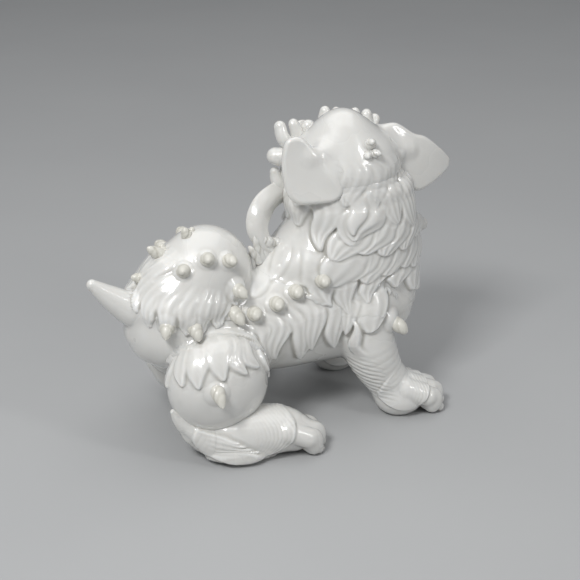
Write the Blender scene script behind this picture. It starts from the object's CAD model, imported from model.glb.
import math

import bpy
import numpy as np
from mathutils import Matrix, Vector


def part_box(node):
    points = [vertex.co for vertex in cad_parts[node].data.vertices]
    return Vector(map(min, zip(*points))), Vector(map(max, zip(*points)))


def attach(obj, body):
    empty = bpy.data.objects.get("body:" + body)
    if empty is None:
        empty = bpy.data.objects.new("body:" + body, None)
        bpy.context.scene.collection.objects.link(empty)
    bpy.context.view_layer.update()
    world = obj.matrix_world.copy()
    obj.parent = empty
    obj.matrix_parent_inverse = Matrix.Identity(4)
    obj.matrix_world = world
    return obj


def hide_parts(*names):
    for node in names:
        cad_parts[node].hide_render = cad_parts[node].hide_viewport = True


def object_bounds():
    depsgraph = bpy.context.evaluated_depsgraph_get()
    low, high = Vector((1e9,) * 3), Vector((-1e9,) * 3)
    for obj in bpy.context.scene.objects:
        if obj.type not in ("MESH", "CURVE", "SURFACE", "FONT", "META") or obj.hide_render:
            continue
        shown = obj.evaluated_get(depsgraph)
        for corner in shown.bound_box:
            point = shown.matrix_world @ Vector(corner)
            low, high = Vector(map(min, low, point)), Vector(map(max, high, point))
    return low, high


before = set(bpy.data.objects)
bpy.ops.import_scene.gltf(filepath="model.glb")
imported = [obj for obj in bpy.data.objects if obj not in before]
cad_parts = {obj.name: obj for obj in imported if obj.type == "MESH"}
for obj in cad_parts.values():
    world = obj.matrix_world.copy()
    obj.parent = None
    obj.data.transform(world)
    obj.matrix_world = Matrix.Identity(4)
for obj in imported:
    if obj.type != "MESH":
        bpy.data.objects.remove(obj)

cad_box = [[float(v) for v in corner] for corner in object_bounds()]
cad_low, cad_high = (Vector(corner) for corner in cad_box)

# ---- Camera, lamps and shelf --------------------------------------------------------------
# The lion stands on plain grey paper, seen from behind its right side and a little above.
# One window-like lamp high on the left gives the sharp glints, two broad ones fill the shade.

sight = Vector(((cad_low.x + cad_high.x) / 2 + 0.0104, 0, cad_high.z * 0.42))
turn, rise, camera_distance = math.radians(-24), math.radians(25), 0.85
away = Vector((math.sin(turn) * math.cos(rise), -math.cos(turn) * math.cos(rise), math.sin(rise)))
lens = bpy.data.cameras.new("viewer")
lens.sensor_width = 36
lens.lens = 68.6
lens.clip_start = 0.05
viewer = bpy.data.objects.new("viewer", lens)
viewer.location = sight + away * camera_distance
viewer.rotation_euler = away.to_track_quat("Z", "Y").to_euler()
bpy.context.scene.collection.objects.link(viewer)
bpy.context.scene.camera = viewer


def hexed(code):
    """sRGB hex to linear RGBA: each channel is raised by the sRGB curve."""
    channels = [int(code[i:i + 2], 16) / 255 for i in (1, 3, 5)]
    return tuple(c / 12.92 if c <= 0.04045 else ((c + 0.055) / 1.055) ** 2.4
                 for c in channels) + (1.0,)


def feed(tree, node, **inputs):
    """Sets or links a shader node's inputs by name."""
    for key, value in inputs.items():
        socket = node.inputs[key.replace("_", " ")]
        if isinstance(value, bpy.types.NodeSocket):
            tree.links.new(value, socket)
        else:
            socket.default_value = value


def add_node(tree, kind, settings=None, **inputs):
    """Adds one shader node with its properties and inputs."""
    made = tree.nodes.new(kind)
    for key, value in (settings or {}).items():
        setattr(made, key, value)
    feed(tree, made, **inputs)
    return made


def new_material(name):
    """An empty node material with its output and principled shader."""
    made = bpy.data.materials.new(name)
    made.use_nodes = True
    tree = made.node_tree
    tree.nodes.clear()
    shader = add_node(tree, "ShaderNodeBsdfPrincipled")
    add_node(tree, "ShaderNodeOutputMaterial", Surface=shader.outputs["BSDF"])
    return made, tree, shader


# matt photographic paper: nearly even, with a breath of tone so it isn't dead flat
paper, tree, shader = new_material("matt_paper")
where = add_node(tree, "ShaderNodeTexCoord").outputs["Object"]
cloud = add_node(tree, "ShaderNodeTexNoise", Vector=where, Scale=3.0, Detail=4.0).outputs["Fac"]
tone = add_node(tree, "ShaderNodeMix", {"data_type": "RGBA"}, Factor=cloud,
                A=hexed("#a9aaab"), B=hexed("#b1b2b2"))
feed(tree, shader, Base_Color=tone.outputs["Result"], Roughness=0.75)

shelf_mesh = bpy.data.meshes.new("shelf")
shelf_mesh.from_pydata([(-6, -6, 0), (6, -6, 0), (6, 6, 0), (-6, 6, 0)], [], [(0, 1, 2, 3)])
shelf = bpy.data.objects.new("shelf", shelf_mesh)
shelf.data.materials.append(paper)
bpy.context.scene.collection.objects.link(shelf)

for name, spot, size, power in (("window", (-0.80, -0.60, 1.25), (0.42, 0.32), 14.0),
                                ("strip", (0.70, -1.00, 0.90), (0.14, 0.60), 3.0),
                                ("sky", (0.1, 0.40, 2.4), (3.0, 2.6), 24.0)):
    glow = bpy.data.lights.new(name, "AREA")
    glow.shape = "RECTANGLE"
    glow.size, glow.size_y = size
    glow.energy = power
    lamp = bpy.data.objects.new(name, glow)
    lamp.location = spot
    lamp.rotation_euler = (Vector(spot) - sight).to_track_quat("Z", "Y").to_euler()
    bpy.context.scene.collection.objects.link(lamp)
room = bpy.data.worlds.new("room")
room.use_nodes = True
feed(room.node_tree, room.node_tree.nodes["Background"], Color=hexed("#dfe1e4"), Strength=0.30)
bpy.context.scene.world = room
bpy.context.scene.view_settings.view_transform = "Standard"

# ---- Torso ---------------------------------------------------------------------------------
# The barrel of the body with the rump, press-moulded in white porcelain clay in two halves. All
# the moulded forms are melted into each other with slip, so one set of soft forms gives the
# common skin, and each piece below is its own stretch of that skin. Sizes are in millimetres.

spine_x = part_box("torso")[0].x * 1000 + 127


def through(stations, fine=0.5):
    """Smooth curve through stations: cubic Hermite pieces with finite-difference slopes."""
    rows = np.array(stations, float)
    s, values = rows[:, 0], rows[:, 1:]
    slopes = np.gradient(values, s, axis=0)
    at = np.linspace(s[0], s[-1], int(round((s[-1] - s[0]) / fine)) + 1)
    k = np.searchsorted(s, at, side="right").clip(1, len(s) - 1) - 1
    step = (s[k + 1] - s[k])[:, None]
    t = ((at - s[k])[:, None]) / step
    curve = ((2 * t**3 - 3 * t**2 + 1) * values[k] + (t**3 - 2 * t**2 + t) * step * slopes[k]
             + (3 * t**2 - 2 * t**3) * values[k + 1] + (t**3 - t**2) * step * slopes[k + 1])
    return at, curve


def barrel(stations, along):
    """Distance to a barrel with elliptical sections along x (0) or z (2). A section's centre is
    shifted in the other of the two, and its half sizes are that way and sideways."""
    s, rows = through(stations)
    other = 2 - along

    def distance(p):
        u = p[..., other] - np.interp(p[..., along], s, rows[:, 0])
        v = p[..., 1]
        high = np.interp(p[..., along], s, rows[:, 1])
        wide = np.interp(p[..., along], s, rows[:, 2])
        rho = np.sqrt((u / high) ** 2 + (v / wide) ** 2) + 1e-9
        side = np.sqrt(u * u + v * v) * (1 - 1 / rho)
        past = np.maximum(np.maximum(s[0] - p[..., along], p[..., along] - s[-1]), 0)
        return np.where(past > 0, np.hypot(np.maximum(side, 0), past), side)
    return distance


def ball(centre, radii, turned=None):
    """Distance to an ellipsoid: k0 (k0 - 1) / k1, with k0 the length of p over the radii and k1
    the length of p over their squares."""
    centre, radii = np.array(centre, float), np.array(radii, float)

    def distance(p):
        q = p - centre
        if turned is not None:
            q = q @ turned
        k0 = np.sqrt(((q / radii) ** 2).sum(-1)) + 1e-9
        k1 = np.sqrt(((q / radii**2) ** 2).sum(-1)) + 1e-9
        return k0 * (k0 - 1) / k1
    return distance


def rod(points, radii, flat=None, spans=14):
    """Distance to a tapered round rod along a smooth path. flat is a direction and the share of
    the radius kept that way."""
    knots = np.arange(len(points))
    at, rows = through([[k, *p, r] for k, p, r in zip(knots, points, radii)],
                       (len(points) - 1) / spans)

    def distance(p):
        best = np.full(p.shape[:-1], 1e9)
        for a, b in zip(rows[:-1], rows[1:]):
            line = b[:3] - a[:3]
            q = p - a[:3]
            t = (q @ line / (line @ line)).clip(0, 1)
            q = q - t[..., None] * line
            if flat is not None:
                q = q + (q @ flat[0])[..., None] * flat[0] * (1 / flat[1] - 1)
            best = np.minimum(best, np.sqrt((q * q).sum(-1)) - (a[3] + t * (b[3] - a[3])))
        return best
    return distance


def melt(forms, soft):
    """Smooth union: the least distance, less a quarter of soft where two are equal."""
    def distance(p):
        d = forms[0](p)
        for form in forms[1:]:
            e = form(p)
            h = np.maximum(soft - np.abs(d - e), 0) / soft
            d = np.minimum(d, e) - h * h * soft / 4
        return d
    return distance


torso_form = barrel([(-127, 91, 3, 3), (-122, 91, 16, 17), (-112, 91, 26, 29), (-94, 90, 33, 36),
                     (-68, 88, 35, 38), (-40, 83, 39, 39), (-10, 84, 45, 40), (20, 87, 49, 41),
                     (50, 87, 49, 41), (78, 89, 43, 38), (96, 91, 32, 30), (104, 92, 17, 17),
                     (107, 92, 3, 3)], 0)
mane_stations = [(62, 70, 22, 24), (68, 69, 32, 34), (82, 66, 40, 41), (104, 56, 54, 43),
                 (128, 47.5, 64.5, 43), (142, 51.5, 57.5, 42), (154, 56, 51, 41), (172, 54, 50, 39),
                 (186, 53, 43, 35), (192, 52, 31, 26), (195, 51, 12, 10)]
mane_form = barrel(mane_stations, 2)
tip_up, face_way = math.radians(15), math.radians(100)
face_out = np.array([math.cos(face_way) * math.cos(tip_up),
                     math.sin(face_way) * math.cos(tip_up), math.sin(tip_up)])
face_left = np.array([-math.sin(face_way), math.cos(face_way), 0])
face_up = np.cross(face_out, face_left)
face_axes = np.stack([face_out, face_left, face_up], 1)
head_middle = np.array([50, 0, 198.0])


def on_head(x, y, z):
    """A point given out of the face, to the lion's left and to its crown."""
    return head_middle + face_axes @ np.array([x, y, z], float)


skull_form = ball(head_middle, (37, 42, 31), face_axes)
crown_form = ball((46, -2, 219), (17, 17, 19))
haunch_forms = {-1: ball((-71, -42, 58), (38, 27, 38)), 1: ball((-65, 42, 58), (38, 27, 38))}
plume_forms = [ball((-64, 0, 127), (35, 31, 36.5)), ball((-82, 0, 120), (33, 33, 29)),
               ball((-84, 0, 112), (40, 38, 17))]
tip_path = [(-72, -4, 108), (-95, -4, 103), (-116, -3, 107), (-134, -1, 120), (-148, 0, 133)]
tip_radii = [19, 17, 13.5, 9, 4]
tip_form = rod(tip_path, tip_radii, spans=44)
# the sides, and how far forwards each limb stands on either
sides = {-1: "right", 1: "left"}
foot_back, leg_back, leg_wide = {-1: 0, 1: 9}, {-1: 0, 1: -15}, {-1: 38, 1: 36}
foot_radii, leg_radii = [11, 16, 18.5, 17.5, 15], [23, 21, 17.5, 15]
foot_paths, foot_forms, leg_paths, leg_forms, paw_forms = {}, {}, {}, {}, {}
for side in sides:
    back = foot_back[side]
    foot_paths[side] = [(-90 + back, side * 46, 24), (-76 + back, side * 47, 17),
                        (-52 + back, side * 53, 18.5), (-30 + back, side * 59, 18),
                        (-20 + back, side * 62, 15)]
    foot_forms[side] = rod(foot_paths[side], foot_radii)
    back, wide = leg_back[side], leg_wide[side]
    leg_paths[side] = [(52 + back / 2, side * (wide - 10), 84),
                       (57 + back * 0.8, side * (wide - 3), 56),
                       (67 + back, side * wide, 34), (77 + back, side * (wide + 2), 18)]
    leg_forms[side] = rod(leg_paths[side], leg_radii)
    paw_forms[side] = ball((81 + back, side * (wide + 6), 13), (21, 17.5, 16))


def bisect(start, way, low, high, form, steps=15):
    """Where each ray from start along way leaves the form, by halving between low and high."""
    for _ in range(steps):
        middle = (low + high) / 2
        inside = form(start + way * middle[..., None]) < 0
        low, high = np.where(inside, middle, low), np.where(inside, high, middle)
    return low


def melted_skin(start, way, furthest, own_form, body, keep, past):
    """Skin of one piece of the melted body. Its own form is found along each ray from start, out
    to furthest, and the body's skin is sought from keep times that far to past beyond it."""
    start, shape = np.ones_like(way) * start, way.shape[:2]
    own = bisect(start, way, np.zeros(shape), np.full(shape, float(furthest)), own_form)
    return start + way * bisect(start, way, own * keep, own + past, body)[..., None]


def wrap_normals(grid):
    """Unit normals of a grid closed in its second direction, from its two sets of differences."""
    down = np.gradient(grid, axis=0)
    round_ = np.roll(grid, -1, axis=1) - np.roll(grid, 1, axis=1)
    n = np.cross(down, round_)
    n /= np.linalg.norm(n, axis=-1, keepdims=True) + 1e-12
    return n


# each glaze by the name of its slot
glazes = {}


def fire(name, grids, nodes, marks=None, slot="clear_glaze"):
    """Makes one finished piece from closed grids of points in millimetres: rows by columns, closed
    round the columns, with each end row drawn to its own middle point. marks is the relief that
    the glaze reads, and slot names the glaze."""
    points, faces, depth, first = [], [], [], 0
    for n, grid in enumerate(grids):
        rows, cols = grid.shape[:2]
        caps = np.stack([grid[0].mean(0), grid[-1].mean(0)])
        index = first + np.arange(rows * cols).reshape(rows, cols)
        following = np.roll(index, -1, axis=1)
        quads = np.stack([index[:-1], index[1:], following[1:], following[:-1]], -1).reshape(-1, 4)
        top = np.stack([index[0], following[0], np.full(cols, first + rows * cols)], -1)
        end = np.stack([following[-1], index[-1], np.full(cols, first + rows * cols + 1)], -1)
        volume = np.einsum("ij,ij->i", grid[:-1].reshape(-1, 3) - caps.mean(0),
                           np.cross(grid[1:] - grid[:-1], np.roll(grid[:-1], -1, axis=1)
                                    - grid[:-1]).reshape(-1, 3)).sum()
        if volume < 0:
            quads, top, end = quads[:, ::-1], top[:, ::-1], end[:, ::-1]
        points.append(np.concatenate([grid.reshape(-1, 3), caps]))
        faces.append((quads, top, end))
        mark = marks[n] if marks is not None else np.zeros((rows, cols))
        depth.append(np.concatenate([mark.reshape(-1), [mark[0].mean(), mark[-1].mean()]]))
        first += rows * cols + 2
    points = (np.concatenate(points) + (spine_x, 0, 0)) / 1000
    quads = np.concatenate([f[0] for f in faces])
    tris = np.concatenate([t for f in faces for t in f[1:]])
    mesh = bpy.data.meshes.new(name)
    mesh.vertices.add(len(points))
    mesh.vertices.foreach_set("co", points.astype(np.float32).ravel())
    loops = np.concatenate([quads.ravel(), tris.ravel()])
    mesh.loops.add(len(loops))
    mesh.loops.foreach_set("vertex_index", loops.astype(np.int32))
    mesh.polygons.add(len(quads) + len(tris))
    starts = np.concatenate([np.arange(len(quads)) * 4, len(quads) * 4 + np.arange(len(tris)) * 3])
    mesh.polygons.foreach_set("loop_start", starts.astype(np.int32))
    mesh.update(calc_edges=True)
    mesh.polygons.foreach_set("use_smooth", np.ones(len(mesh.polygons), bool))
    relief = mesh.attributes.new("relief", "FLOAT", "POINT")
    relief.data.foreach_set("value", np.concatenate(depth).astype(np.float32))
    piece = bpy.data.objects.new(name, mesh)
    piece.data.materials.append(glazes[slot])
    bpy.context.scene.collection.objects.link(piece)
    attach(piece, "root")
    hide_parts(*nodes)


# Clear feldspar glaze on white porcelain: raw clay, once glazed by dipping and fired, gives a
# cool white with a wet shine. The glaze is thin and whiter on ridges, and pools greyer in cuts.
clear_glaze, tree, shader = new_material("clear_glaze_porcelain")
glazes["clear_glaze"] = clear_glaze
where = add_node(tree, "ShaderNodeTexCoord").outputs["Object"]
pooled = add_node(tree, "ShaderNodeAttribute", {"attribute_name": "relief"}).outputs["Fac"]
cut = add_node(tree, "ShaderNodeMapRange", Value=pooled, From_Min=-0.55, From_Max=0.25,
               To_Min=1.0, To_Max=0.0).outputs["Result"]
# firing cloud: slow drift of tone across 60 mm
drift = add_node(tree, "ShaderNodeTexNoise", Vector=where, Scale=16.0, Detail=3.0).outputs["Fac"]
body = add_node(tree, "ShaderNodeMix", {"data_type": "RGBA"}, Factor=drift,
                A=hexed("#e6e5e1"), B=hexed("#eeeeec"))
deep = add_node(tree, "ShaderNodeMix", {"data_type": "RGBA"}, Factor=cut,
                A=body.outputs["Result"], B=hexed("#c3c1ba"))
# iron specks about 0.4 mm across, some 30 mm apart
speck = add_node(tree, "ShaderNodeTexVoronoi", Vector=where, Scale=45.0)
near = add_node(tree, "ShaderNodeMapRange", Value=speck.outputs["Distance"], From_Min=0.012,
                From_Max=0.020, To_Min=0.5, To_Max=0.0).outputs["Result"]
spotted = add_node(tree, "ShaderNodeMix", {"data_type": "RGBA"}, Factor=near,
                   A=deep.outputs["Result"], B=hexed("#9b8f7e"))
# orange-peel of the melted glaze: swells 9 mm apart and under a twentieth of a millimetre high
peel = add_node(tree, "ShaderNodeTexNoise", Vector=where, Scale=110.0, Detail=2.0).outputs["Fac"]
bump = add_node(tree, "ShaderNodeBump", Strength=0.35, Distance=0.0004, Height=peel)
gloss = add_node(tree, "ShaderNodeMapRange", Value=drift, To_Min=0.22, To_Max=0.34)
feed(tree, shader, Base_Color=spotted.outputs["Result"], Roughness=gloss.outputs["Result"],
     Normal=bump.outputs["Normal"], Coat_Normal=bump.outputs["Normal"], IOR=1.5, Coat_IOR=1.5,
     Coat_Weight=1.0, Coat_Roughness=0.05, Subsurface_Weight=0.25,
     Subsurface_Radius=(1.0, 0.9, 0.8), Subsurface_Scale=0.003)

# what has been worked on the skin so far
locks, mounds, cuffs = [], [], []


def lock(root, tip, width, height, sway=0.0, strands=3, curl=0.0, blunt=2.6):
    """Notes one lock of fur: a path from root to tip that bows sideways by sway and bends into
    an S by curl, with its greatest half width and height and its count of strands. blunt is the
    power that rounds its tip."""
    locks.append((np.array(root, float), np.array(tip, float), width, height, sway, strands, curl,
                  blunt))


# what the wooden tool leaves: the cut between two strands as a share of the lock's height, and in
# millimetres the trough along a lock's edge and the width over which the edge rises
strand_cut, trough_cut, edge_rise = 0.13, 0.25, 2.8


def comb(grid, normals):
    """Height of the tooled fur at each point. For each lock, u is the share of the way from root
    to tip and v the distance along the skin from its bowed middle line. Its outline is a leaf,
    w(u), its section a round back with strands, cosines of v / w, and it lies over the locks
    before it with a soft cut along its edge."""
    height = np.zeros(grid.shape[:2])
    for root, tip, width, high, sway, strands, curl, blunt in locks:
        run = tip - root
        length = np.linalg.norm(run)
        centre = (root + tip) / 2
        apart = ((grid - centre) ** 2).sum(-1)
        if apart.min() > (length / 2 + width + abs(sway)) ** 2:
            continue
        out = normals[np.unravel_index(apart.argmin(), apart.shape)]
        near = (apart < (length / 2 + width + abs(sway) + 3) ** 2) & (normals @ out > 0.15)
        q, n = grid[near] - root, normals[near]
        u = q @ run / length**2
        across = np.cross(run, n)
        across /= np.linalg.norm(across, axis=1, keepdims=True) + 1e-9
        inside = u.clip(0, 1)
        bow = sway * 4 * inside * (1 - inside) + curl * np.sin(2 * np.pi * inside)
        slope = (sway * 4 * (1 - 2 * inside) + curl * 2 * np.pi * np.cos(2 * np.pi * inside)) / length
        v = ((q * across).sum(-1) - bow) / np.sqrt(1 + slope**2)
        full = min(0.42 + 0.055 * blunt, 0.85)
        w = width * (full + (1 - full) * np.sin(np.pi * np.minimum(inside / 0.9, 1) ** 0.8)) \
            * np.sqrt(np.clip(1 - inside**blunt, 0, 1)) + 1e-3
        edge = np.minimum(w - np.abs(v), np.minimum(u * length, (1 - u) * length + 0.4))
        cover = np.clip(edge / edge_rise + 0.35, 0, 1)
        cover = cover * cover * (3 - 2 * cover) * np.clip(inside * 3, 0, 1)
        back = np.sqrt(np.clip(1 - (v / (w * 1.15)) ** 2, 0, 1))
        rise = 0.30 + 0.70 * np.sin(np.pi * 0.5 * np.clip(inside / 0.75, 0, 1))
        strand = 0.5 - 0.5 * np.cos(np.pi * strands * (v / w + 1)) if strands else 1.0
        top = high * rise * (0.40 + 0.60 * back) - strand_cut * high * (1 - strand) * back
        trough = -trough_cut * np.exp(-((edge + 1.5) / 1.4) ** 2) * np.clip(inside * 4, 0, 1)
        old = height[near]
        height[near] = old * (1 - cover) + top * cover + trough * (1 - cover)
    return height


def coat(grid, worked=0.0):
    """Lifts a skin grid along its normals by the height worked on it, by the fur height, by
    cuffs, and by round mounds, whose height is lift times (1 - (d / reach) squared) to the power
    1.3. A cuff is a flat step inside an ellipsoid that fades upwards. It is combed in front into
    grooves, cosines of its length plus a share of its height squared, which curve like a bow.
    Also gives how far each point stands above the mean around it."""
    normals = wrap_normals(grid)
    middle = grid.reshape(-1, 3).mean(0)
    if ((grid - middle) * normals).sum() < 0:
        normals = -normals
    height = comb(grid, normals) + worked
    for centre, radii, lift, spacing in cuffs:
        q = (grid - np.array(centre, float)) / radii
        t = ((1 - np.sqrt((q * q).sum(-1))) * min(radii) / 1.4).clip(0, 1)
        t = t * t * (3 - 2 * t) * ((0.75 - q[..., 2]) / 0.5).clip(0, 1)
        arc = 0.5 + 0.5 * np.cos(2 * np.pi * (q[..., 0] + 0.4 * q[..., 2] ** 2) * radii[0] / spacing)
        height = height + t * (lift - 0.22 * arc**2 * (q[..., 0] / 0.5).clip(0, 1))
    for centre, reach, lift in mounds:
        d2 = ((grid - np.array(centre, float)) ** 2).sum(-1) / reach**2
        cap = lift * np.clip(1 - d2, 0, 1) ** 1.3
        height = height * (1 - 0.6 * cap / lift) + cap
    mean = height
    for _ in range(10):
        mean = (2 * mean + np.roll(mean, 1, 1) + np.roll(mean, -1, 1)
                + np.concatenate([mean[:1], mean[:-1]]) + np.concatenate([mean[1:], mean[-1:]])) / 6
    return grid + normals * height[..., None], height - mean


def furred(name, skin, node, worked=0.0):
    """Works the fur on a skin and fires it as one piece, pared flat under the feet."""
    grid, marks = coat(skin, worked)
    grid[..., 2] = np.maximum(grid[..., 2], 0)
    fire(name, [grid], [node], [marks])


flank_knobs = [(-39, 34, 104), (-21, 33.5, 108), (-5, 32, 114), (14, 38, 122)]
for side in (-1, 1):
    # faint strands from the spine down to the knobs
    for x, y, z, dx, dy, dz in ((-4, 6, 148, -14, 12, -28), (-22, 6, 129, -14, 18, -18),
                                (10, 26, 145, -8, 8, -28)):
        lock((x, side * y, z), (x + dx, side * (y + dy), z + dz), 7, 0.6, side * 3, 2, 0, 6)
    # the fringe of the flank: long locks that bow forwards and end in points
    for k, (x, z, length) in enumerate(((-58, 99, 36), (-43, 101, 41), (-31, 103, 38), (-16, 106, 46),
                                        (-2, 110, 43), (12, 112, 47), (27, 114, 38), (39, 112, 34))):
        lock((x, side * 36, z), (x + 7 + 5 * (k % 2), side * 40, z - length), 9.4 + 1.6 * (k % 2), 3.6,
             side * (6 + 3 * (k % 2)), 3, side * (1.5 + 1.5 * (k % 3)), 4.0)
    # the skin swells a little round each knob of the flank
    for x, y, z in flank_knobs:
        mounds.append(((x, side * y, z), 9.0, 1.8))
    # the shoulder, where the elbow knob stands
    mounds.append(((68, side * 44, 82) if side < 0 else (62, side * 43, 82), 11.0, 4.5))

whole_body = [torso_form, mane_form, haunch_forms[-1], haunch_forms[1], leg_forms[-1],
              leg_forms[1], tip_form] + plume_forms
# rows closer together at both ends, where the skin turns in
share = np.linspace(0, 1, 310)
x = -126.5 + 230.5 * (0.35 * (0.5 - 0.5 * np.cos(np.pi * share)) + 0.65 * share)
angle = np.linspace(0, 2 * np.pi, 280, endpoint=False)
level = np.interp(x, [-127, -68, -40, -10, 20, 50, 107], [91, 88, 83, 84, 87, 87, 92])
start = np.stack([x, 0 * x, level], 1)[:, None]
way = np.stack([0 * angle, np.cos(angle), np.sin(angle)], 1)[None] * np.ones((len(x), 1, 1))
furred("torso_barrel", melted_skin(start, way, 70, torso_form, melt(whole_body, 7), 0.5, 7), "torso")

# ---- Neck and mane -------------------------------------------------------------------------
# The thick upright neck, press-moulded in white porcelain clay with the chest. The mane lies on
# it in overlapping rows of locks, cut and combed with a wooden tool while the clay is soft.

neck_height, neck_rows = through(mane_stations)


def on_mane(degrees, z):
    """A point of the neck at that height, degrees round from the chest to the left."""
    t = math.radians(degrees)
    x, long_, wide = (np.interp(z, neck_height, neck_rows[:, i]) for i in range(3))
    return (x + long_ * math.cos(t), wide * math.sin(t), z)


for side in (1, -1):
    # lowest row: long S-shaped locks over the shoulder, uneven in length and lean
    for k in range(8):
        t = side * (14 + 16.5 * k + 4 * math.sin(2.1 * k))
        lock(on_mane(t + side * 2, 131 - (k % 2) * 4),
             on_mane(t + side * 7, 102 - 7 * math.sin(k * 1.3)),
             11.0 + 2.5 * math.sin(k), 3.6, side * (5 + 2 * math.sin(3 * k)), 3, side * 3, 3.6)
    # middle row: bundles that run together into a shelf with a waved edge
    for k in range(8):
        t = side * (12 + 15 * k + 3 * math.sin(1.7 * k))
        lock(on_mane(t - side * 4, 150), on_mane(t + side * 5, 119 + 2.5 * math.sin(2.3 * k)),
             13.0 + 1.5 * math.sin(2 * k), 3.6, side * 5, 3, side * 2, 7)
    # upper row: broad bundles that sweep back round the neck
    for k in range(6):
        t = side * (18 + 19 * k)
        lock(on_mane(t - side * 5, 171), on_mane(t + side * 4, 137 + 3 * math.sin(1.9 * k)),
             14.0 - 1.5 * math.sin(1.3 * k), 4.0, side * 7, 4, side * 3, 6)
    # flowing strands from the crown down to the neck
    for degrees, top, low, sway in ((172, 184, 156, 2), (140, 186, 160, 4), (120, 188, 166, 3),
                                    (100, 189, 172, 2), (20, 186, 150, 2), (38, 188, 152, 3)):
        lock(on_mane(side * degrees, top), on_mane(side * (degrees - 6), low), 11, 1.8,
             side * sway, 4, side * 1.5, 5)
    # soft strands that run from the back of the head on to the neck
    for k in range(7):
        t = side * (8 + 25 * k)
        lock((50 + 38 * math.cos(math.radians(t)), 38 * math.sin(math.radians(t)), 209 - 3 * (k % 2)),
             on_mane(t + side * 7, 172 + 4 * (k % 3)), 11, 2.2, side * 4, 3, side * 2, 4)
    # under the ears: a long S-shaped lock, and the bundles behind the far one
    lock(on_mane(side * 146, 182), on_mane(side * 130, 143), 11.0, 4.2, side * 6, 3, side * 4, 3.5)
    lock(on_mane(side * 84, 188), on_mane(side * 68, 158), 11, 2.8, side * 5, 4, side * 2, 6)
    lock(on_mane(side * 62, 187), on_mane(side * 44, 151), 11.5, 3.6, side * 5, 5, side * 2, 6)
    # the heart-shaped curl on the neck: an outer loop and a tongue inside it
    lock(on_mane(side * 99, 184), on_mane(side * 110, 147), 15.0, 4.6, side * 4, 0, side * 4, 5)
    lock(on_mane(side * 100, 182), on_mane(side * 109, 150.5), 11.5, 5.6, side * 4, 2, side * 4, 5)
    lock(on_mane(side * 107, 181), on_mane(side * 111, 155), 6.5, 6.6, side * 2, 0, side * 2, 4)

z = np.linspace(66, 194.5, 230)
start = np.stack([np.interp(z, [62, 82, 104, 128, 154, 195], [72, 66, 58, 54, 56, 52]), 0 * z, z], 1)
angle = np.linspace(0, 2 * np.pi, 380, endpoint=False)
way = np.stack([np.cos(angle), np.sin(angle), 0 * angle], 1)[None] * np.ones((len(z), 1, 1))
upper_body = [mane_form, torso_form, skull_form, leg_forms[-1], leg_forms[1]]
furred("neck_mane_locks",
       melted_skin(start[:, None], way, 90, mane_form, melt(upper_body, 8), 0.4, 8), "neck_mane")

# ---- Ears ----------------------------------------------------------------------------------
# Two drooping ears, cut from sheets of clay 7 mm thick, bent to a shallow cup and luted to the
# sides of the head with a thick root of slip.


def ringed(points, count):
    """Smooth closed curve through points, evenly counted round."""
    n = len(points)
    s, rows = through([[k, *points[k % n]] for k in range(-3, n + 4)], 0.02)
    at = np.arange(count) / count * n
    return np.stack([np.interp(at, s, rows[:, i]) for i in range(2)], 1)


def within(p, loop):
    """Signed distance to a closed outline: the least distance to its sides, negative inside,
    where a ray to the right crosses an odd number of them."""
    nearest = np.full(p.shape[:-1], 1e9)
    sign = np.ones(p.shape[:-1])
    for a, b in zip(loop, np.roll(loop, -1, axis=0)):
        line, q = b - a, p - a
        t = (q @ line / (line @ line)).clip(0, 1)
        nearest = np.minimum(nearest, ((q - t[..., None] * line) ** 2).sum(-1))
        above, under = q[..., 1] >= 0, p[..., 1] < b[1]
        left = line[0] * q[..., 1] > line[1] * q[..., 0]
        sign = np.where((above & under & left) | ~(above | under | left), -sign, sign)
    return sign * np.sqrt(nearest)


# anchor, facing, outline along the ear's level direction and height, its middle, root and dish
ear_shapes = {
    "left_ear": ((25, -26, 210), (-0.25, -0.93, 0.20),
                 [(-33, 13), (-26, 17.5), (-18, 15), (-11, 5), (-4, -6), (3, -15), (7.5, -24),
                  (2, -30), (-12, -31.5), (-25, -30.5), (-32.5, -22), (-35.5, -3)],
                 (-15, -9), [(38, -10, 210), (24, -17, 212), (12, -20, 212)], 2.0),
    "right_ear": ((85, -6, 198), (0.10, -0.97, 0.20),
                  [(-7, 20), (7, 25), (22, 15), (34, 10), (53, -6), (56, -12), (50, -20),
                   (24, -30), (8, -20), (-6, -3)],
                  (22, -3), [(74, 0, 203), (88, -5, 202), (100, -5, 201)], -3.5),
}
ear_forms, ear_roots = {}, []
ear_thick, ear_rim = 7.0, 3.3
# rows across each face and over the rim, and the share of the outline where the rim begins
face_rows, rim_rows, rim_share = 46, 24, 0.88


def ear_form(anchor, axes, loop, middle, root, dish):
    """Distance to an ear: a slab of even thickness about a dished middle surface, with a round
    rim, melted into its root. The dish is a paraboloid about the ear's middle."""
    def slab(p):
        q = (p - anchor) @ axes
        spread = ((q[..., :2] - middle) ** 2).sum(-1) / 900 - 0.5
        thin = np.abs(q[..., 2] - dish * spread) - ear_thick / 2 + ear_rim
        edge = within(q[..., :2], loop) + ear_rim
        return np.hypot(np.maximum(edge, 0), np.maximum(thin, 0)) \
            + np.minimum(np.maximum(edge, thin), 0) - ear_rim
    return melt([slab, rod(root, [9, 7, 4])], 7)


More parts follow.
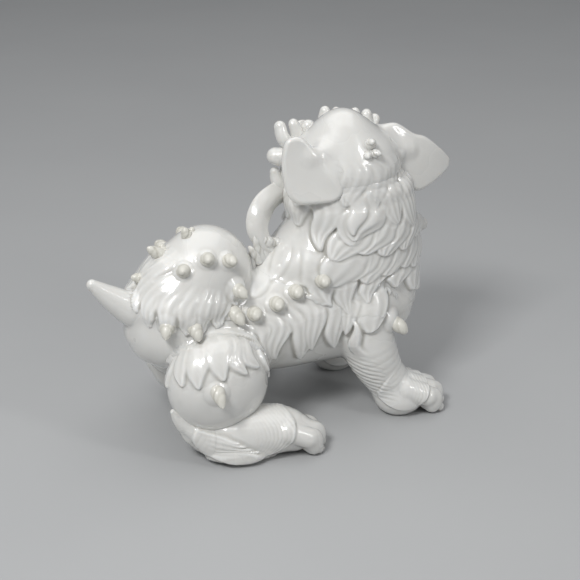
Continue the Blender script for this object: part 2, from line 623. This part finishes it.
for name, (anchor, facing, outline, middle, root, dish) in ear_shapes.items():
    facing = np.array(facing) / np.linalg.norm(facing)
    level = np.cross((0, 0, 1), facing)
    level /= np.linalg.norm(level)
    axes = np.stack([level, np.cross(facing, level), facing], 1)
    ear_forms[name] = ear_form(anchor, axes, ringed(outline, 64), middle, root, dish)
    ear_roots.append(rod(root, [9, 7, 4]))
    edge = ringed(outline, 230)
    # rows run from the middle of the front over the rim to the middle of the back
    share = np.concatenate([np.linspace(0.02, rim_share, face_rows), np.full(rim_rows, rim_share),
                            np.linspace(rim_share, 0.02, face_rows)])
    lean = np.concatenate([np.zeros(face_rows), np.linspace(0, np.pi, rim_rows + 2)[1:-1],
                           np.full(face_rows, np.pi)])
    flat_points = middle + (edge - middle)[None] * share[:, None, None]
    spread = ((flat_points - middle) ** 2).sum(-1) / 900 - 0.5
    start = anchor + np.concatenate([flat_points, (dish * spread)[..., None]], -1) @ axes.T
    outward = (edge - middle) / np.linalg.norm(edge - middle, axis=1, keepdims=True)
    way = np.concatenate([outward[None] * np.sin(lean)[:, None, None],
                          np.cos(lean)[:, None, None] * np.ones((1, len(edge), 1))], -1) @ axes.T
    far = np.where(share < rim_share, 9.0, 14.0)[:, None] * np.ones((1, len(edge)))
    reach = bisect(start, way, far * 0, far, melt([ear_forms[name], skull_form, crown_form], 7), 18)
    fire(name + "_flap", [start + way * reach[..., None]], [name])

# ---- Head ----------------------------------------------------------------------------------
# The hollow skull, turned hard to the lion's left and tipped up, with the smooth dome of the
# crown. It is moulded apart and luted to the neck.


def globe(rows, cols, pole, gap=0.004):
    """Unit directions all round. With v down from the pole and a round it, they are sin v cos a
    and sin v sin a on two axes and cos v on the pole. gap is how far v stays from both poles."""
    v = np.linspace(gap, np.pi - gap, rows)[:, None]
    angle = np.linspace(0, 2 * np.pi, cols, endpoint=False)[None]
    way = [np.sin(v) * np.cos(angle), np.sin(v) * np.sin(angle)]
    way.insert(pole, np.cos(v) * np.ones_like(angle))
    return np.stack(way, -1)


head_form = melt([skull_form, crown_form], 16)
head_body = melt([head_form, mane_form] + ear_roots, 7)
head_skin = melted_skin((48, -1, 200), globe(220, 290, 2), 70, head_form, head_body, 0.4, 7)
furred("head_skull", head_skin, "head_shell")

# ---- Beard and curls ------------------------------------------------------------------------
# The beard is a flattened roll of clay that springs from the chin and curls back to the spine.
# The curls round the face are rolled between finger and thumb, and stuck on with slip.


def along(path, count, fine=400):
    """Evenly spaced points, unit headings and curve positions on a smooth path."""
    s, rows = through([[k, *p] for k, p in enumerate(path)], (len(path) - 1) / fine)
    run = np.concatenate([[0], np.cumsum(np.linalg.norm(np.diff(rows, axis=0), axis=1))])
    at = np.interp(np.linspace(0, run[-1], count), run, s)
    points = np.stack([np.interp(at, s, rows[:, i]) for i in range(3)], 1)
    heading = np.gradient(points, axis=0)
    return points, heading / np.linalg.norm(heading, axis=1, keepdims=True), at


cap_rows = 13


def tube_skin(path, radii, rows, cols, around=None, reach_out=4.0, up=None, flat=1.0, furrow=None):
    """Skin of a roll of clay: circles of the radii square to its smooth path, closed by round
    ends. flat is the share of the radius kept along up. furrow scales the radius by the share of
    the length and the angle. around is a melted form that the skin is carried out to."""
    points, heading, at = along(path, rows)
    if up is None:
        up = np.eye(3)[np.argmin(np.abs(points[-1] - points[0]))]
    across = np.cross(heading, np.array(up, float))
    across /= np.linalg.norm(across, axis=1, keepdims=True)
    over = np.cross(across, heading) * flat
    angle = np.linspace(0, 2 * np.pi, cols, endpoint=False)
    ring = np.cos(angle)[None, :, None] * across[:, None] + np.sin(angle)[None, :, None] * over[:, None]
    radius = np.interp(at, np.arange(len(path)), radii)
    scale = np.ones((rows, cols))
    if furrow is not None:
        scale = furrow(np.linspace(0, 1, rows)[:, None], angle[None])
    skin = points[:, None] + ring * (radius[:, None] * scale)[..., None]
    caps = []
    for end, sign in ((0, -1), (-1, 1)):
        lean = np.linspace(np.pi / 2, 0.05, cap_rows + 1)[1:] if sign > 0 \
            else np.linspace(0.05, np.pi / 2, cap_rows + 1)[:-1]
        lean = lean[:, None, None]
        caps.append(points[end] + radius[end] * (np.sin(lean) * (ring[end] * scale[end][:, None])[None]
                                                 + sign * np.cos(lean) * heading[end] * flat))
    skin = np.concatenate([caps[0], skin, caps[1]])
    if around is None:
        return skin
    origin = np.concatenate([np.repeat(points[:1], cap_rows, 0), points,
                             np.repeat(points[-1:], cap_rows, 0)])
    way = skin - origin[:, None]
    size = np.linalg.norm(way, axis=-1)
    way /= size[..., None]
    start = origin[:, None] * np.ones_like(way)
    return start + way * bisect(start, way, size * 0.5, size + reach_out, around)[..., None]


def ribbed(count, depth, turns=0.0):
    """Furrows along a roll: the radius less depth where a cosine of count times the angle is
    least, turning as it goes."""
    def scale(share, angle):
        return 1 - depth * (0.5 - 0.5 * np.cos(count * (angle + 2 * np.pi * turns * share)))
    return scale


beard_path = [on_head(30, 4, -36), (27, 35, 172), (7, 22, 173), (-9, 12, 170), (-18, 6, 162),
              (-20, 3, 152), (-16, 1, 142), (-9, 0, 134)]
beard_skin = tube_skin(beard_path, [6, 8, 9.5, 9.5, 9, 8, 6.5, 5], 200, 90, up=(0.3, 0.95, 0),
                       flat=0.6, furrow=ribbed(4, 0.10))
fire("beard_ribbon", [beard_skin], ["beard_curl"])

# base, tip, thickness at the foot and at the tip, sideways bow; out of the face, left, crown
curl_shapes = [((26, 5, 12), (29, 4, 27), 6.4, 4.0, 0), ((26, 16, 4), (29, 17, 16), 6.0, 5.6, 0),
               ((26, 30, 2), (36, 38, 16), 5.8, 4.6, 3), ((25, 27, 2), (33, 28, 18), 5.4, 4.4, -2),
               ((24, 37, -4), (29, 43, -4), 6.6, 6.8, 0), ((21, 36, -30), (27, 43, -17), 6.2, 3.8, 2),
               ((21, 34, -28), (26, 35, -16), 5.4, 3.8, 0), ((20, -20, 11), (25, -22, 23), 5.8, 4.4, 0),
               ((18, -30, 7), (24, -33, 20), 6.2, 4.8, -1), ((15, -35, 3), (22, -40, 16), 5.6, 4.6, 2),
               ((24, -35, -5), (30, -42, -3), 6.2, 5.0, 0),
               ((21, -35, -22), (28, -42, -18), 6.2, 4.4, -2),
               ((26, -8, 12), (30, -8, 23), 5.6, 4.6, 0)]
curl_skins = []
for base, tip, foot, end, bow in curl_shapes:
    base, tip = np.array(base, float), np.array(tip, float)
    middle = (base + tip) / 2 + (0, bow, 0)
    curl_skins.append(tube_skin([on_head(*base), on_head(*middle), on_head(*tip)],
                                [foot, (foot + end) / 2 + 0.6, end], 30, 32,
                                furrow=ribbed(2, 0.10, 0.4)))
fire("face_curl_rolls", curl_skins, ["face_curls"])

# ---- Face ----------------------------------------------------------------------------------
# A snarling lion's mask in the usual manner: bulging eyes under rolled brows, a flat wide nose,
# fleshy lips, four fangs and a lolling tongue, each modelled solid and luted on.


def bulb(middle, form, rows, cols, furthest):
    """Skin of a rounded form: rays in all directions from a point inside it, all in the head's
    own directions."""
    way = globe(rows, cols, 2, 0.01)
    start = np.ones_like(way) * np.array(middle, float)
    reach = bisect(start, way, np.zeros((rows, cols)), np.full((rows, cols), float(furthest)), form, 18)
    return head_middle + (start + way * reach[..., None]) @ face_axes.T


def hollowed(form, hole, soft):
    """A form less a hole, with a soft lip: the smooth greatest of the one and minus the other."""
    full = melt([lambda p: -form(p), hole], soft)
    return lambda p: -full(p)


mouth = ball((38, 0, -20), (22, 17, 7))
lip_forms = [ball((30, 0, -7), (21, 24, 13)), ball((38, 12, -9), (13, 12, 9)),
             ball((38, -12, -9), (13, 12, 9)), ball((36, 0, 1), (12, 10, 8))]
muzzle_skin = bulb((26, 0, -5), hollowed(melt(lip_forms, 4), mouth, 2.5), 150, 200, 34)
# two rows of whisker pits on each side of the lip
local = (muzzle_skin - head_middle) @ face_axes
pits = np.zeros(local.shape[:2])
for side in (-1, 1):
    for k in range(6):
        spot = np.array((49 - 1.6 * (k % 3), side * (10 + 3.6 * (k % 3)), -6.5 - 3.4 * (k // 3)))
        pits -= 0.7 * np.exp(-((local - spot) ** 2).sum(-1) / 1.1)
muzzle_skin = muzzle_skin + wrap_normals(muzzle_skin) * pits[..., None] * np.sign(
    ((muzzle_skin - on_head(26, 0, -5)) * wrap_normals(muzzle_skin)).sum())
fire("muzzle_lips", [muzzle_skin], ["upper_muzzle"], [pits])

jaw_forms = [ball((27, 0, -29), (21, 20, 9)), ball((41, 0, -31), (8, 9, 6))]
jaw_skin = bulb((24, 0, -31), hollowed(melt(jaw_forms, 4), mouth, 2), 110, 150, 30)
fire("lower_jaw_lip", [jaw_skin], ["lower_jaw"])

tongue_form = hollowed(ball((38, 0, -23), (12, 8.8, 2.8)), rod([(30, 0, -19.2), (52, 0, -19.2)],
                                                              [1.7, 1.7]), 1.5)
fire("tongue_leaf", [bulb((38, 0, -23.6), tongue_form, 70, 110, 14)], ["tongue"])

nostril = [ball((54, side * 5.2, -2.4), (3.4, 2.6, 2.2)) for side in (-1, 1)]
nose_forms = [ball((48, 0, 0.4), (6.4, 6.5, 5.2)), ball((48, 6.4, -1.2), (5.6, 5.2, 4.4)),
              ball((48, -6.4, -1.2), (5.6, 5.2, 4.4))]
nose_form = hollowed(hollowed(melt(nose_forms, 3), nostril[0], 0.8), nostril[1], 0.8)
fire("nose_tip", [bulb((46.5, 0, -0.6), nose_form, 90, 130, 14)], ["nose"])

for word, tooth, way, length in (("upper", (43, 12, -13), -1, 9.5), ("lower", (43, 10, -26), 1, 8.5)):
    fangs = []
    for side in (-1, 1):
        base = np.array(tooth, float) * (1, side, 1)
        tip = base + (1.5, side * 0.8, way * length)
        fangs.append(tube_skin([on_head(*base), on_head(*(base + tip) / 2), on_head(*tip)],
                               [2.3, 1.8, 0.5], 26, 28))
    fire(word + "_fang_pair", fangs, [word + "_fangs"])

for side, word in sides.items():
    # an eyeball with a lid's ring and a drilled pupil about its line of sight
    v = np.linspace(0.01, np.pi - 0.01, 80)[:, None]
    angle = np.linspace(0, 2 * np.pi, 90, endpoint=False)[None]
    radius = 8 - 1.5 * np.exp(-(v / 0.26) ** 2) - 0.5 * np.exp(-((v - 0.66) / 0.09) ** 2) \
        + 0 * angle
    look = np.array([0.88, side * 0.42, 0.12])
    look /= np.linalg.norm(look)
    flat_way = np.cross(look, (0, 0, 1))
    flat_way /= np.linalg.norm(flat_way)
    eye = (np.sin(v) * np.cos(angle))[..., None] * flat_way \
        + (np.sin(v) * np.sin(angle))[..., None] * np.cross(flat_way, look) \
        + np.cos(v)[..., None] * look
    eye = eye * radius[..., None] + (32, side * 18, 3)
    fire(word + "_eye_bead", [head_middle + eye @ face_axes.T], [word + "_eyeball"],
         [(radius - 8) * 1.2])
    brow = [on_head(39, side * 7, 8), on_head(37, side * 19, 12), on_head(26, side * 32, 5)]
    brow_skin = tube_skin(brow, [4.5, 5.0, 3.5], 90, 70, furrow=ribbed(5, 0.15, 0.35))
    fire(word + "_brow_roll", [brow_skin], [word + "_brow"])

# ---- Haunches ------------------------------------------------------------------------------
# Two hollow balls of porcelain clay for the thighs, moulded apart and luted to the body. They are
# smooth below, and combed above into locks like flames.

haunch_back = {-1: 0, 1: 6}
for side, back in haunch_back.items():
    for (x, y, z), (u, v, w), width, sway in (((-41, 36, 88), (-36, 52, 64), 6.0, -2),
                                              ((-108, 24, 86), (-109, 42, 62), 6.5, 4),
                                              ((-101, 32, 95), (-101, 55, 68), 7.0, 4),
                                              ((-60, 40, 97), (-46, 60, 74), 8.0, -5),
                                              ((-88, 36, 100), (-91, 60, 66), 8.0, 4),
                                              ((-66, 38, 101), (-58, 64, 72), 7.5, -4),
                                              ((-78, 38, 101), (-75, 63, 70), 8.5, 3)):
        lock((x + back, side * y, z), (u + back, side * v, w), width + 0.8, 2.3, side * sway, 2,
             side * 2.0, 4.2)
    mounds.append(((-81 + back, side * 67, 64), 10.0, 3.0))

for side, word in sides.items():
    middle = (-71 + haunch_back[side], side * 42, 58)
    around = melt([haunch_forms[side], torso_form] + plume_forms, 5)
    haunch_skin = melted_skin(middle, globe(210, 290, 0), 60, haunch_forms[side], around, 0.4, 5)
    furred(word + "_haunch_ball", haunch_skin, word + "_haunch")

# ---- Tail plume and tip --------------------------------------------------------------------
# The tail is curled up on the back as a hollow dome with strands running out of it, and ends in
# a smooth solid horn that sweeps back and up.

fan_knobs = [((-87, 22, 141), (-0.3, 0.7, 0.6)), ((-70, 24, 148), (-0.15, 0.8, 0.55)),
             ((-55, 25, 145), (0.2, 0.9, 0.45)), ((-51, 29, 124), (0.45, 0.85, -0.1)),
             ((-54, 33, 107), (0.3, 0.85, -0.25)), ((-104, 32, 107), (-0.4, 0.8, -0.3)),
             ((-86, 37, 104), (0.0, 0.9, -0.3))]
for side in (-1, 1):
    for (x, y, z), (u, v, w), width, sway in (
            ((-88, 10, 154), (-118, 10, 126), 10.0, -3), ((-97, 14, 141), (-121, 14, 112), 8.5, -4),
            ((-91, 22, 137), (-116, 25, 104), 8.5, -5), ((-84, 26, 134), (-104, 34, 101), 8.5, -5),
            ((-76, 29, 131), (-92, 37, 99), 8.0, -4), ((-68, 30, 129), (-79, 38, 98), 8.0, -3),
            ((-60, 30, 126), (-66, 37, 97), 8.0, -2), ((-52, 28, 132), (-50, 33, 112), 7.5, 2)):
        lock((x, side * y, z), (u, side * v, w), width, 2.6, side * sway, 3, side * 1.5, 5)
    for k, ((x, y, z), _) in enumerate(fan_knobs):
        mounds.append(((x, side * y, z), 8.0 if k < 3 else 9.5, 2.6 if k < 3 else 3.6))

dome_form = melt(plume_forms, 9)
dome_body = melt([dome_form, tip_form, torso_form], 5)
dome_skin = melted_skin((-74, 0, 118), globe(240, 310, 2), 70, dome_form, dome_body, 0.4, 5)
furred("tail_dome", dome_skin, "tail_plume")
tip_skin = tube_skin(tip_path[1:], tip_radii[1:], 130, 120, up=(0, 1, 0),
                     around=melt([tip_form] + plume_forms, 6))
fire("tail_horn", [tip_skin], ["tail_tip"])

# ---- Hind feet -----------------------------------------------------------------------------
# Long flat feet of solid porcelain clay, pressed on under the thighs. Fur is combed along them
# from a point drawn up at the heel to the edge of a sleeve, with four round toes in front.

for side, back in foot_back.items():
    # combed fur that flows down and forwards from the point of the heel
    for k in range(7):
        lock((-103 + 2.2 * k + back, side * (47 + 2.2 * k), 42 - 4.8 * k),
             (-66 + 5 * k + back, side * (70 - 0.4 * k), 20 - 3.2 * k),
             4.2, 2.4, side * -6, 1, side * -2, 3)
    cuffs.append(((-58 + back, side * 58, 24), (40, 40, 21), 1.6, 2.9))

for side, word in sides.items():
    back = foot_back[side]
    toes = []
    for x, y in ((-14, 75.5), (-8, 67), (-9, 57.5), (-15, 49.5)):
        toes.append(rod([(x - 15 + back, side * (y * 0.7 + 18), 22), (x + back, side * y, 15.5)],
                        [8.0, 8.0], spans=3))
        toes.append(ball((x + 4.5 + back, side * (y + 0.3), 10.8), (7.6, 6.4, 10.6)))
        toes.append(ball((x + 10 + back, side * (y + 0.6), 4.0), (3.2, 3.0, 3.8)))
    sole = ball((-50 + back, side * 55, 8), (36, 17, 8.2))
    # the heel is drawn up behind the haunch to a point
    heel_tip = (-108 + back, side * 47, 45)
    heel = rod([heel_tip, (-101 + back, side * 46, 35), (-90 + back, side * 45, 25)], [2.0, 6.5, 11])
    foot_skin = tube_skin([heel_tip, (-102 + back, side * 46, 36)] + foot_paths[side],
                          [2.0, 6.5] + foot_radii, 240, 200, up=(0, 1, 0),
                          around=melt([melt([foot_forms[side], sole, heel], 4)] + toes, 1.6),
                          reach_out=12)
    furred(word + "_hind_paw", foot_skin, word + "_hind_foot")

# ---- Forelegs and forepaws -----------------------------------------------------------------
# Straight solid legs of porcelain clay that lean forward from the elbow, with broad paws luted
# under them. Fine cuts go round the back, and a sleeve of fur ends over the four toes.

for side, back in leg_back.items():
    # a flame of fur that stands up behind the elbow
    lock((43 + back * 0.7, side * 52, 58), (36 + back / 2, side * 45, 90),
         5.5, 5.0, side * 2, 0, side * 3, 2.4)
    cuffs.append(((79 + back, side * 43, 26), (22, 36, 21), 1.6, 2.7))

for side, word in sides.items():
    back, wide = leg_back[side], leg_wide[side]
    leg_skin = tube_skin(leg_paths[side], leg_radii, 190, 180, up=(0, 1, 0),
                         around=melt([leg_forms[side], torso_form, mane_form, paw_forms[side]], 6),
                         reach_out=6)
    # fine waved cuts round the back of the leg: cosines of the height plus half the distance
    # forwards, fading out before the front
    height = leg_skin[..., 2]
    forward = leg_skin[..., 0] - np.interp(height, [18, 34, 56, 84], [leg_paths[side][k][0] for k in
                                                                      (3, 2, 1, 0)])
    wave = 0.5 + 0.5 * np.cos(2 * np.pi * (height + 0.45 * forward + np.sin(forward / 4)) / 4.4)
    cuts = -0.75 * wave**2 * ((-2 - forward) / 12).clip(0, 1) * ((60 - height) / 16).clip(0, 1) \
        * ((height - 14) / 10).clip(0, 1)
    furred(word + "_foreleg_post", leg_skin, word + "_foreleg", cuts)
    middle_y = side * (wide + 6)
    toes = []
    for x, y in ((97, 15), (103.5, 5.5), (103.5, -5), (97, -14.5)):
        toes.append(rod([(x - 16 + back, middle_y + side * y * 0.6, 22),
                         (x + back, middle_y + side * y, 15.5)], [8.2, 8.2], spans=3))
        toes.append(ball((x + 5 + back, middle_y + side * y * 1.03, 10.8), (8.2, 6.6, 10.6)))
        toes.append(ball((x + 11.5 + back, middle_y + side * y * 1.06, 4.2), (3.4, 3.2, 4.0)))
    paw = melt([paw_forms[side]] + toes, 1.6)
    paw_skin = melted_skin((85 + back, middle_y, 12), globe(200, 240, 0), 45, paw,
                           melt([paw, leg_forms[side]], 5), 0.6, 5)
    furred(word + "_fore_paw_toes", paw_skin, word + "_forepaw")

# ---- Rolled knobs and spikes ----------------------------------------------------------------
# Little cones of clay rolled in the hand, with a fold across the tip, pressed on to the finished
# form after it had dried. They took the glaze thinly and fired drier and greyer than the rest.

# thin dry glaze over white porcelain: drier, warmer and rougher where the clay soaked the glaze
glazes["matt_glaze"], tree, shader = new_material("thin_dry_glaze_porcelain")
where = add_node(tree, "ShaderNodeTexCoord").outputs["Object"]
blotch = add_node(tree, "ShaderNodeTexNoise", Vector=where, Scale=260.0, Detail=4.0,
                  Roughness=0.6).outputs["Fac"]
body = add_node(tree, "ShaderNodeMix", {"data_type": "RGBA"}, Factor=blotch,
                A=hexed("#cdcbc0"), B=hexed("#e0ded7"))
pooled = add_node(tree, "ShaderNodeAttribute", {"attribute_name": "relief"}).outputs["Fac"]
cut = add_node(tree, "ShaderNodeMapRange", Value=pooled, From_Min=-1.3, From_Max=0.0,
               To_Min=1.0, To_Max=0.0).outputs["Result"]
deep = add_node(tree, "ShaderNodeMix", {"data_type": "RGBA"}, Factor=cut,
                A=body.outputs["Result"], B=hexed("#b6b3a6"))
gloss = add_node(tree, "ShaderNodeMapRange", Value=blotch, To_Min=0.30, To_Max=0.62)
# skin of the clay: pits a third of a millimetre across
pit = add_node(tree, "ShaderNodeTexNoise", Vector=where, Scale=1400.0, Detail=2.0).outputs["Fac"]
bump = add_node(tree, "ShaderNodeBump", Strength=0.5, Distance=0.0002, Height=pit)
feed(tree, shader, Base_Color=deep.outputs["Result"], Roughness=gloss.outputs["Result"],
     Normal=bump.outputs["Normal"], IOR=1.5, Coat_Weight=0.35, Coat_Roughness=0.12)


def knob_skin(base, way, radius, length, droop=1.5, blunt=2.4):
    """Rolled knob: the radius times (1 - t to the blunt) to the power 0.6 along its axis, which
    droops by droop t squared, with a slanting fold round the tip and a seam that winds once up
    the roll. Also gives how deep each point lies in those cuts."""
    way = np.array(way, float)
    way /= np.linalg.norm(way)
    flat_way = np.cross(way, np.eye(3)[np.argmin(np.abs(way))])
    flat_way /= np.linalg.norm(flat_way)
    t = (np.linspace(0, 1, 34) ** 0.85)[:, None]
    angle = np.linspace(0, 2 * np.pi, 36, endpoint=False)[None]
    wound = (angle - 5.2 * t + 1.0 + np.pi) % (2 * np.pi) - np.pi
    seam = 0.15 * np.exp(-(wound / 0.34) ** 2) * np.sin(np.pi * t) ** 0.5
    fold = 0.08 * np.exp(-((t - 0.62 - 0.13 * np.sin(angle)) / 0.07) ** 2)
    size = radius * (1 - t**blunt) ** 0.6 * (1 - seam - fold)
    middle = np.array(base, float) + (t * 1.35 - 0.35)[..., None] * length * way \
        + droop * (t**2)[..., None] * np.array((0, 0, -1.0))
    grid = middle + (size * np.cos(angle))[..., None] * flat_way \
        + (size * np.sin(angle))[..., None] * np.cross(way, flat_way)
    return grid, -(seam + fold) * radius


def knobs(name, rows, node, slot="matt_glaze"):
    """One piece from a row of knobs."""
    made = [knob_skin(*row) for row in rows]
    fire(name, [grid for grid, _ in made], [node], [deep for _, deep in made], slot)


for side, word in sides.items():
    back = haunch_back[side]
    knobs(word + "_flank_knob_row",
          [((x, side * (y + 1.5), z + 0.5), (-0.05, side * 0.9, 0.3), 5.7, 8.0, 1.5, 3.0)
           for x, y, z in flank_knobs], word + "_flank_knobs")
    knobs(word + "_haunch_spike_roll", [((-81 + back, side * 69.5, 66), (0.0, side * 0.9, -0.1),
                                         5.4, 9.0, 6.5)], word + "_haunch_spike")
    knobs("tail_" + word + "_knob_row",
          [((x + 2 * a, side * (y + 2 * b), z + 2 * c), (a, side * b, c), 5.6, 9.5, 2.5)
           for (x, y, z), (a, b, c) in fan_knobs], "tail_" + word + "_knobs")
    back = leg_back[side] / 3
    knobs(word + "_elbow_spike_roll", [((71 + back, side * 46, 80), (0.65, side * 0.75, -0.1),
                                        6.0, 12.0, 4.5, 5.0)], word + "_elbow_spike")

# nubs up the back of the tail, three-lobed flames along the spine, and the pearl of the beard
knobs("tail_crest_knob_row", [((-77, -3, 159), (-0.3, -0.1, 0.9), 4.6, 8.0, 0),
                              ((-73, -1, 159.5), (0.1, 0, 0.9), 3.4, 5.5, 0),
                              ((-97, 0, 147), (-0.75, 0, 0.6), 5.2, 12.0, 0),
                              ((-94, 3, 149), (-0.3, 0.3, 0.9), 3.8, 6.0, 0),
                              ((-111, 0, 131), (-0.9, 0, 0.3), 4.6, 9.0, 0)], "tail_crest_knobs")
knobs("spine_crest_flames", [((x + lean * 3.4, 0.6 * lean, z), (a + lean * 0.3, 0.1 * lean, 1), 3.8,
                              high, 0)
                             for x, z, a in ((-30, 127, -0.2), (-19, 132, -0.3))
                             for lean, high in ((-1, 13.0), (0, 18.0), (1, 13.0))]
      + [((-14, 0, 144), (-0.8, 0, 0.9), 4.6, 6.5, 0), ((-6, 0, 141), (-0.9, 0, 0.5), 4.4, 9.0, 0)],
      "spine_crest", "clear_glaze")
knobs("nape_knob_lobes", [((55.5, -28.5, 218.5), (-0.1, -0.7, 0.7), 4.4, 8.0, 2.0),
                          ((57.5, -31, 212), (0.3, -0.85, 0.3), 3.8, 7.0, 1.0),
                          ((52.5, -31, 211), (-0.4, -0.85, 0.2), 3.6, 6.0, 0.6)],
      "nape_knob", "clear_glaze")
chest = tube_skin([(96, 0, 142), (111, 0, 139), (119, 0, 136.5)], [15, 9.5, 5.0], 60, 70, up=(0, 1, 0))
fire("chest_hair_point", [chest], ["chest_knob"])

# ---- Sizes and end -------------------------------------------------------------------------
# Any plain solid that is still seen wears the clear glaze too. The boxes of the plain and of the
# finished figure are written down in metres.

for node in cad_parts.values():
    if not node.hide_render:
        node.data.materials.clear()
        node.data.materials.append(clear_glaze)
